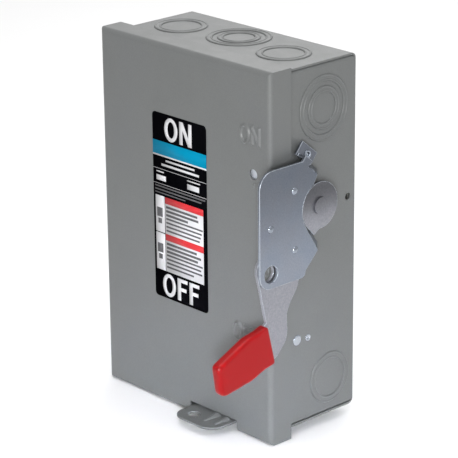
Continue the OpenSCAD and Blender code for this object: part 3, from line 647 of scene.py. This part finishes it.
def word_piece(name, word, corner):
    """Printed letters, with the word's lower left corner as shares of the label's size."""
    left, top, wide, tall = label_size()
    x, z = left + corner[0] * wide, top - corner[1] * tall
    parts = []
    for letter in word:
        loops = [[(x + u * LETTER_H * LETTER_WIDEN, z + v * LETTER_H) for u, v in loop]
                 for loop in LETTER_LOOPS[letter]]
        parts.append(flat_shape(loops, LETTER_T))
        x += (ADVANCE[letter] + LETTER_GAP) * LETTER_H * LETTER_WIDEN
    bm = upright(merged(parts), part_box("cover_label")[0].y - LETTER_OUT * MM)
    add_piece(name, shaded(bm, weighted=False), "cover", "label", INK_WHITE)


def rounded_rect(x0, x1, y0, y1, r, steps=6):
    """A rectangle's outline with round corners."""
    spots = []
    centres = ((x1 - r, y1 - r), (x0 + r, y1 - r), (x0 + r, y0 + r), (x1 - r, y0 + r))
    for turn, (x, y) in enumerate(centres):
        angles = [math.radians(90 * turn + 90 * k / steps) for k in range(steps + 1)]
        spots += [(x + r * math.cos(a), y + r * math.sin(a)) for a in angles]
    return spots


def text_bars():
    """Rectangles for the blank bars, as shares of the label's size."""
    bars = []
    for top, lengths in BAR_BLOCKS:
        for i, length in enumerate(lengths):
            v = top + BAR_FIRST + BAR_PITCH * i
            thick = THICK_BAR if i < THICK_ROWS else THIN_BAR
            bars.append((BAR_LEFT, BAR_LEFT + length * BAR_FULL, v, v + thick))
    return bars


def make_label():
    left, top, wide, tall = label_size()
    low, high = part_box("cover_label")
    film = flat_shape([rounded_rect(left, left + wide, top - tall, top, FILM_CORNER)], FILM_T)
    upright(film, (low.y + high.y) / 2)
    add_piece("label_film", shaded(film, weighted=False), "cover", "label", FILM, ["cover_label"])
    ink("label_band", BANDS, INK_TEAL)
    ink("label_lines", LINES, INK_WHITE)
    ink("label_small_print", SMALL_PRINT, INK_GREY)
    ink("label_panel", PANELS, INK_WHITE)
    ink("label_headers", HEADERS, INK_RED, 2)
    ink("label_text_bars", text_bars() + BLANKS, INK_GREY, 2)
    word_piece("label_on", "ON", PRINTED_ON)
    word_piece("label_off", "OFF", PRINTED_OFF)


make_label()


# ---------- guard, with its dimples ----------

# the dimples' centres (y, z), their radius and height, and their height in CAD
GUARD_DIMPLES = ((-70.6, 50.0), (-93.0, 28.0), (-70.0, 7.6))
DIMPLE_R = 2.66
DIMPLE_H = 1.215
CAD_DIMPLE_H = 1.22


def dome_profile(r, h, steps=10):
    """A slice of a ball on a short root, rim first."""
    ball = (r * r + h * h) / (2 * h)
    edge = math.asin(r / ball)
    arc = [edge * k / steps for k in range(steps, -1, -1)]
    return [(0, -0.2), (r, -0.2)] + [(ball * math.sin(a), ball * math.cos(a) - ball + h) for a in arc]


def make_guard():
    plate_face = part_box("guard_plate")[1].x - CAD_DIMPLE_H * MM
    bm = cad_shape("guard_plate")
    # the domes come off, so that the plate's edges can be rounded, and go back on as finer ones
    raised = [v for v in bm.verts if v.co.x > plate_face + 0.02 * MM]
    bmesh.ops.delete(bm, geom=raised, context="VERTS")
    bmesh.ops.holes_fill(bm, edges=[e for e in bm.edges if e.is_boundary], sides=0)
    flatten(bm)
    # the rounded edges take the lighter edge zinc, a painted highlight
    plate = shaded(bm, [bevel(0.34, segments=3, finish=1, clamp=False)])
    add_piece("guard_sheet", plate, "box", SLOT_OF["guard_plate"], ZINC, ["guard_plate"], EDGE_HIGHLIGHT)
    for i, (y, z) in enumerate(GUARD_DIMPLES):
        dome = lathe(dome_profile(DIMPLE_R, DIMPLE_H), (plate_face, y * MM, z * MM), (1, 0, 0))
        add_piece(f"guard_dimple_{i}", dome, "box", SLOT_OF["guard_plate"], DIMPLE)


make_guard()


# ---------- rivets ----------

# profiles of (radius, height), with height 0 on the face that the head lies on
TUBE_RIVET = [(0, -6.0), (2.5, -6.0), (2.5, 0.0), (3.25, 0.0), (3.3, 0.25), (3.1, 0.62), (2.7, 0.80),
              (2.2, 0.74), (1.8, 0.45), (1.6, -0.2), (1.5, -0.9), (0, -1.0)]
TUBE_RIVET_H = 0.80
SPACER = [(0, 0.1), (3.6, 0.1), (3.6, 2.9), (0, 2.9)]
FLAT_RIVET = [(0, -2.7), (2.5, -2.7), (2.5, 0.0), (3.9, 0.0), (3.9, 0.18), (3.6, 0.55), (2.9, 0.80),
              (1.6, 0.90), (0, 0.92)]
EYELET = [(0, -2.5), (1.5, -2.5), (1.5, 0.0), (2.5, 0.0), (2.5, 0.2), (2.2, 0.46), (1.8, 0.5),
          (1.4, 0.3), (1.1, -0.4), (0, -0.5)]
# centres (y, z) on the right wall
FLAT_RIVET_AT = (-56.5, -65.9)
EYELET_AT = (-45.8, -66.8)


def make_rivets():
    low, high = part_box("guard_rivet")
    y, z = (low.y + high.y) / 2, (low.z + high.z) / 2
    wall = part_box("enclosure_wrap")[1].x
    tube = lathe(TUBE_RIVET, (high.x - TUBE_RIVET_H * MM, y, z), (1, 0, 0))
    spacer = lathe(SPACER, (wall, y, z), (1, 0, 0))
    add_piece("guard_rivet_tube", joined([tube, spacer]), "box", SLOT_OF["guard_rivet"], DIMPLE,
              ["guard_rivet"])
    flat, eyelet = [lathe(profile, (wall, at[0] * MM, at[1] * MM), (1, 0, 0))
                    for profile, at in ((FLAT_RIVET, FLAT_RIVET_AT), (EYELET, EYELET_AT))]
    add_piece("wall_rivet_pair", joined([flat, eyelet]), "box", SLOT_OF["side_wall_rivets"], RIVET,
              ["side_wall_rivets"])


make_rivets()


# ---------- lever ----------

# the pivot (y, z), the way from it down the neck, and where the hub starts to dip
PIVOT = [v / MM for v in JOINTS["handle_turn"]["pos_m"][1:]]
NECK_WAY = (-0.587, -0.810)
NECK_FROM = 8.0
# the dip: the cross cuts that let it bend, its greatest depth, and its slope and curve along the neck
NECK_CUTS = (0.0, 1.5, 3.0, 4.5, 6.0, 8.0, 10.0, 12.0)
NECK_DEPTH = 1.15
NECK_SLOPE = 0.045
NECK_CURVE = 0.012


def make_lever():
    """The lever: as in CAD, but its hub dips towards the neck in a soft slope instead of a flat step."""
    bm = cad_shape("handle_arm")
    hub_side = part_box("handle_arm")[1].x - 0.05 * MM
    for far in NECK_CUTS:
        spot = Vector((0, *(p + way * (NECK_FROM + far) for p, way in zip(PIVOT, NECK_WAY))))
        faces = [f for f in bm.faces if min(v.co.x for v in f.verts) > hub_side]
        verts = list(dict.fromkeys(v for f in faces for v in f.verts))
        edges = list(dict.fromkeys(e for f in faces for e in f.edges))
        bmesh.ops.bisect_plane(bm, geom=verts + edges + faces, plane_co=spot * MM,
                               plane_no=(0, *NECK_WAY), dist=1e-6)
    for v in bm.verts:
        if v.co.x > hub_side:
            away = (v.co.y / MM - PIVOT[0], v.co.z / MM - PIVOT[1])
            far = away[0] * NECK_WAY[0] + away[1] * NECK_WAY[1] - NECK_FROM
            if far > 0:
                v.co.x -= min(NECK_DEPTH, NECK_CURVE * far * far + NECK_SLOPE * far) * MM
    # the rounded edges take the lighter edge zinc, a painted highlight
    mesh = shaded(bm, [bevel(0.28, finish=1, clamp=False)])
    add_piece("lever", mesh, "handle", SLOT_OF["handle_arm"], ZINC_LEVER, ["handle_arm"], EDGE_HIGHLIGHT)


make_lever()


# ---------- grip ----------

# the radius of the vinyl's edges, and how much its inner side thins near the lever
GRIP_ROUND = 3.3
GRIP_THIN = 2.4
# the crisp end of the dip, as a line of (y, z); how far from it the edges and the thinning change; and
# the share of the radius that is left on it
GRIP_END = np.array(((-88.5, -70.0), (-95.4, -41.2)))
GRIP_CRISP = 9.0
GRIP_NEAR = 20
GRIP_LEAST = 0.14
# the loft: points round the outline, the angles of a rounded edge's rings, and the sizes of a flat
# side's rings as shares of its rim
GRIP_POINTS = 240
GRIP_TURNS = [math.pi / 2 * k / 7 for k in range(8)]
GRIP_SHARES = (0.85, 0.6, 0.35, 0.12)


def grip_outline():
    """Even, slightly smoothed (y, z) points round the CAD grip's outer face, and unit vectors inward."""
    outer_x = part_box("handle_grip")[1].x
    verts = frame["nodes"]["handle_grip"].data.vertices
    rim = sorted({(round(v.co.y / MM, 3), round(v.co.z / MM, 3)) for v in verts
                  if outer_x - v.co.x < 0.05 * MM})
    middle = (sum(p[0] for p in rim) / len(rim), sum(p[1] for p in rim) / len(rim))
    rim.sort(key=lambda p: math.atan2(p[1] - middle[1], p[0] - middle[0]))
    closed = np.array(rim + rim[:1])
    lengths = np.concatenate([[0], np.cumsum(np.linalg.norm(np.diff(closed, axis=0), axis=1))])
    at = np.linspace(0, lengths[-1], GRIP_POINTS, endpoint=False)
    loop = np.stack([np.interp(at, lengths, closed[:, i]) for i in (0, 1)], axis=1)
    for _ in range(4):
        loop = 0.5 * loop + 0.25 * (np.roll(loop, 1, 0) + np.roll(loop, -1, 0))
    tangent = np.roll(loop, -3, 0) - np.roll(loop, 3, 0)
    inward = np.stack([-tangent[:, 1], tangent[:, 0]], axis=1)
    return loop, inward / np.linalg.norm(inward, axis=1)[:, None]


def make_grip():
    """The vinyl grip: the CAD outline lofted across its thickness, with full soft edges."""
    low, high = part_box("handle_grip")
    half = (high.x - low.x) / MM / 2
    mid_x = (high.x + low.x) / MM / 2
    loop, inward = grip_outline()
    core = loop.mean(axis=0)
    # the edge is full and round, but crisp where the dip ends on the lever
    fullness = np.clip(segment_distance(loop, *GRIP_END) / GRIP_CRISP, GRIP_LEAST, 1)
    soft = GRIP_ROUND * fullness[:, None]
    bm = bmesh.new()

    def depth(side, spots):
        """Half the thickness at some spots: the side towards the box thins near the lever."""
        near = np.clip(1 - segment_distance(spots, *GRIP_END) / GRIP_NEAR, 0, 1)
        return half - GRIP_THIN * near ** 1.3 * (side < 0)

    def ring(side, spots, out):
        return [bm.verts.new(((mid_x + side * x) * MM, y * MM, z * MM)) for x, (y, z) in zip(out, spots)]

    def face_rings(side):
        """Rings that fill a flat side, from its rim to near its middle."""
        rim_spots = loop + inward * soft
        for share in GRIP_SHARES:
            spots = core + (rim_spots - core) * share
            yield ring(side, spots, depth(side, spots))

    def edge_rings(side, turns):
        """Rings round the rounded edge of a side."""
        for a in turns:
            yield ring(side, loop + inward * soft * (1 - math.cos(a)),
                       depth(side, loop) - soft[:, 0] * (1 - math.sin(a)))

    rings = [*reversed(list(face_rings(-1))), *edge_rings(-1, GRIP_TURNS[::-1]),
             *edge_rings(1, GRIP_TURNS), *face_rings(1)]
    for a, b in zip(rings, rings[1:]):
        for i in range(GRIP_POINTS):
            j = (i + 1) % GRIP_POINTS
            bm.faces.new((a[i], a[j], b[j], b[i]))
    for side, rim_ring in ((-1, rings[0]), (1, rings[-1])):
        centre = ring(side, [core], depth(side, core[None, :]))[0]
        for i in range(GRIP_POINTS):
            bm.faces.new((rim_ring[i], rim_ring[(i + 1) % GRIP_POINTS], centre))
    add_piece("grip_vinyl", shaded(bm, weighted=False), "handle", SLOT_OF["handle_grip"], VINYL,
              ["handle_grip"])


make_grip()


# ---------- padlock tab ----------

# each rib: its wide end (x, y) at the cover, its narrow end, and the half widths there
RIBS = (((29.5, -84.0), (29.5, -96.5), 3.3, 1.3), ((39.5, -84.0), (39.5, -95.5), 3.3, 1.3))
# a rib's height over its half width, how deep it roots in the tab, and its facets along and across
RIB_RISE = 0.68
RIB_ROOT = 0.05
RIB_STEPS = 8
NOSE_STEPS = 6
RIB_ACROSS = 12


def rib(wide, narrow, r_wide, r_narrow, top_z):
    """A pressed rib that comes out from under the cover and thins to a round nose."""
    start = Vector((*wide, 0))
    along = Vector((*narrow, 0)) - start
    length = along.length
    along.normalize()
    across = Vector((-along.y, along.x, 0))
    sections = [(length * k / RIB_STEPS, r_wide + (r_narrow - r_wide) * k / RIB_STEPS)
                for k in range(RIB_STEPS + 1)]
    nose = [math.pi / 2 * k / NOSE_STEPS for k in range(1, NOSE_STEPS + 1)]
    sections += [(length + r_narrow * math.sin(a), r_narrow * math.cos(a)) for a in nose]
    bm = bmesh.new()
    rows = []
    for far, r in sections:
        row = []
        for i in range(RIB_ACROSS + 1):
            a = math.pi * i / RIB_ACROSS
            spot = start + along * far + across * (r * math.cos(a))
            spot.z = top_z - RIB_ROOT + RIB_RISE * r * math.sin(a) ** 1.3
            row.append(bm.verts.new(spot * MM))
        rows.append(row)
    for a, b in zip(rows, rows[1:]):
        for i in range(RIB_ACROSS):
            bm.faces.new((a[i], a[i + 1], b[i + 1], b[i]))
        bm.faces.new((a[-1], a[0], b[0], b[-1]))
    bm.faces.new(rows[0])
    bmesh.ops.remove_doubles(bm, verts=bm.verts, dist=0.002 * MM)
    return shaded(bm, weighted=False)


def make_hasp():
    _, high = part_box("hasp_plate")
    tab = shaded(cad_shape("hasp_plate"), [bevel(0.5, segments=3)])
    add_piece("padlock_tab", tab, "box", SLOT_OF["hasp_plate"], PAINT, ["hasp_plate"])
    ribs = joined([rib(*shape, high.z / MM) for shape in RIBS])
    add_piece("padlock_tab_ribs", ribs, "box", SLOT_OF["hasp_plate"], PAINT)


make_hasp()


# ---------- knockout rings ----------

# a knockout's rings, as (inner, outer) radii, by the radius of its mount
RINGS = {14.3: ((14.3, 19.05),), 11.1: ((11.1, 15.2), (18.8, 23.25))}
# how far the middle of a lip lies from its ring's edge, and the lip's profile as (radius, height)
LIP_IN = 0.7
LIP = ((-1.0, 0.0), (-0.7, 0.3), (-0.35, 0.72), (0, 0.85), (0.35, 0.72), (0.7, 0.3), (1.0, 0.0))


def make_knockouts():
    """Soft raised lips on both edges of each knockout ring."""
    lips = []
    for mount in RECORD["mounts"]:
        if not mount["name"].startswith("knockout"):
            continue
        for inner, outer in RINGS[round(mount["dims"]["r_mm"], 1)]:
            for r in (inner + LIP_IN, outer - LIP_IN):
                profile = [(r + across, height) for across, height in LIP]
                lips.append(lathe(profile + profile[:1], mount["pos_m"], mount["axis"], 96))
    add_piece("knockout_lips", joined(lips), "box", SLOT_OF["enclosure_wrap"], PAINT)


make_knockouts()


# ---------- the rest keeps its CAD shape, with rounded edges ----------

# each node's finish, and the width of its rounded edges
PLAIN = {
    "enclosure_wrap": (PAINT, 0.22), "side_wall_left": (PAINT, 0.22), "side_wall_right": (PAINT, 0.22),
    "hinge_leaf_box": (PAINT, 0.25), "hinge_leaf_cover": (PAINT, 0.25), "hinge_pins": (STEEL, 0.3),
    "shaft_bushing": (BRONZE, 0.3), "cover_catch": (ZINC_INSIDE, 0.2), "pivot_shaft": (ZINC_LEVER, 0.45),
    "drive_crank": (ZINC_INSIDE, 0.3), "toggle_guide": (ZINC_INSIDE, 0.2),
    "toggle_spring": (STEEL, 0), "interlock_slide": (SLIDE, 0.2), "interlock_keeper": (ZINC_INSIDE, 0.2),
    "mechanism_bracket": (ZINC_INSIDE, 0.25), "trunnion_pin": (STEEL, 0.3), "rotor_bar": (BROWN, 0.4),
    "switch_blades": (COPPER, 0.35), "switch_base": (PHENOLIC, 0.5), "base_screws": (STEEL, 0.3),
    "line_lugs": (LUG, 0.5), "line_lug_screws": (STEEL, 0.3), "line_jaws": (COPPER, 0.25),
    "load_jaws": (COPPER, 0.25), "fuse_clips": (COPPER, 0.25), "fuse_tubes": (FIBRE, 0.2),
    "fuse_caps": (CAP, 0.6), "load_lugs": (LUG, 0.5), "load_lug_screws": (STEEL, 0.3),
    "line_shield": (PHENOLIC, 0.4),
    "neutral_block": (IVORY, 0.6), "neutral_bar": (LUG, 0.4), "neutral_screws": (STEEL, 0.3),
    "ground_bar": (LUG, 0.4), "ground_screws": (GREEN, 0.3),
}
for node, (material, width) in PLAIN.items():
    detail(node, material, width)


# ---------- floor, light and camera ----------

MIDDLE_Y = -0.042


def direction(azimuth, elevation):
    """The way from the box to a place seen at these angles."""
    a, e = math.radians(azimuth), math.radians(elevation)
    return Vector((math.sin(a) * math.cos(e), -math.cos(a) * math.cos(e), math.sin(e)))


def make_stage():
    low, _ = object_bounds()
    bm = bmesh.new()
    bmesh.ops.create_grid(bm, x_segments=4, y_segments=4, size=4.0)
    mesh = bpy.data.meshes.new("floor")
    bm.to_mesh(mesh)
    bm.free()
    floor = bpy.data.objects.new("floor", mesh)
    floor.location = (0, 0, low.z - 0.0005)
    mesh.materials.append(surface("pale_floor", [(0.86, 0.86, 0.86), (0.88, 0.88, 0.88)], (0.8, 0.9),
                                  patch=0.4, grain=0.02, relief=0.00001))
    bpy.context.scene.collection.objects.link(floor)


def area_light(name, azimuth, elevation, distance, size, power, colour=(1, 1, 1), aim_z=0.0, cone=180):
    """A soft square light aimed at the box's middle plus aim_z; azimuth 0 is in front of the cover."""
    data = bpy.data.lights.new(name, "AREA")
    data.size = size
    data.energy = power
    data.color = colour
    data.spread = math.radians(cone)
    light = bpy.data.objects.new(name, data)
    away = direction(azimuth, elevation)
    light.location = Vector((0, MIDDLE_Y, aim_z)) + away * distance
    light.rotation_euler = away.to_track_quat("Z", "Y").to_euler()
    bpy.context.scene.collection.objects.link(light)


def make_world():
    world = bpy.data.worlds.new("studio")
    world.use_nodes = True
    world.node_tree.nodes["Background"].inputs["Color"].default_value = (1.0, 1.0, 1.0, 1)
    world.node_tree.nodes["Background"].inputs["Strength"].default_value = 0.70
    bpy.context.scene.world = world


CAMERA_AT = (1.1075, -1.0824, 0.5379)
CAMERA_AZIMUTH = 46.852
CAMERA_ELEVATION = 19.760
CAMERA_ROLL = -0.555
CAMERA_LENS = 177.48


def make_camera():
    data = bpy.data.cameras.new("camera")
    data.lens = CAMERA_LENS
    data.sensor_width = 36
    data.clip_end = 20
    camera = bpy.data.objects.new("camera", data)
    back = direction(CAMERA_AZIMUTH, CAMERA_ELEVATION)
    aim = back.to_track_quat("Z", "Y").to_matrix() @ Matrix.Rotation(math.radians(CAMERA_ROLL), 3, "Z")
    camera.matrix_world = Matrix.Translation(CAMERA_AT) @ aim.to_4x4()
    bpy.context.scene.collection.objects.link(camera)
    bpy.context.scene.camera = camera


make_stage()
make_world()
area_light("top", azimuth=60, elevation=80, distance=1.3, size=1.0, power=9.2)
area_light("low_key", azimuth=46, elevation=15, distance=1.3, size=0.2, power=0.15,
           colour=(0.90, 0.96, 1.10), aim_z=-0.14, cone=14)
area_light("key", azimuth=45.5, elevation=9, distance=1.3, size=0.32, power=10)
area_light("behind", azimuth=215, elevation=40, distance=1.6, size=0.9, power=6.8)
make_camera()
bpy.context.scene.view_settings.view_transform = "Standard"
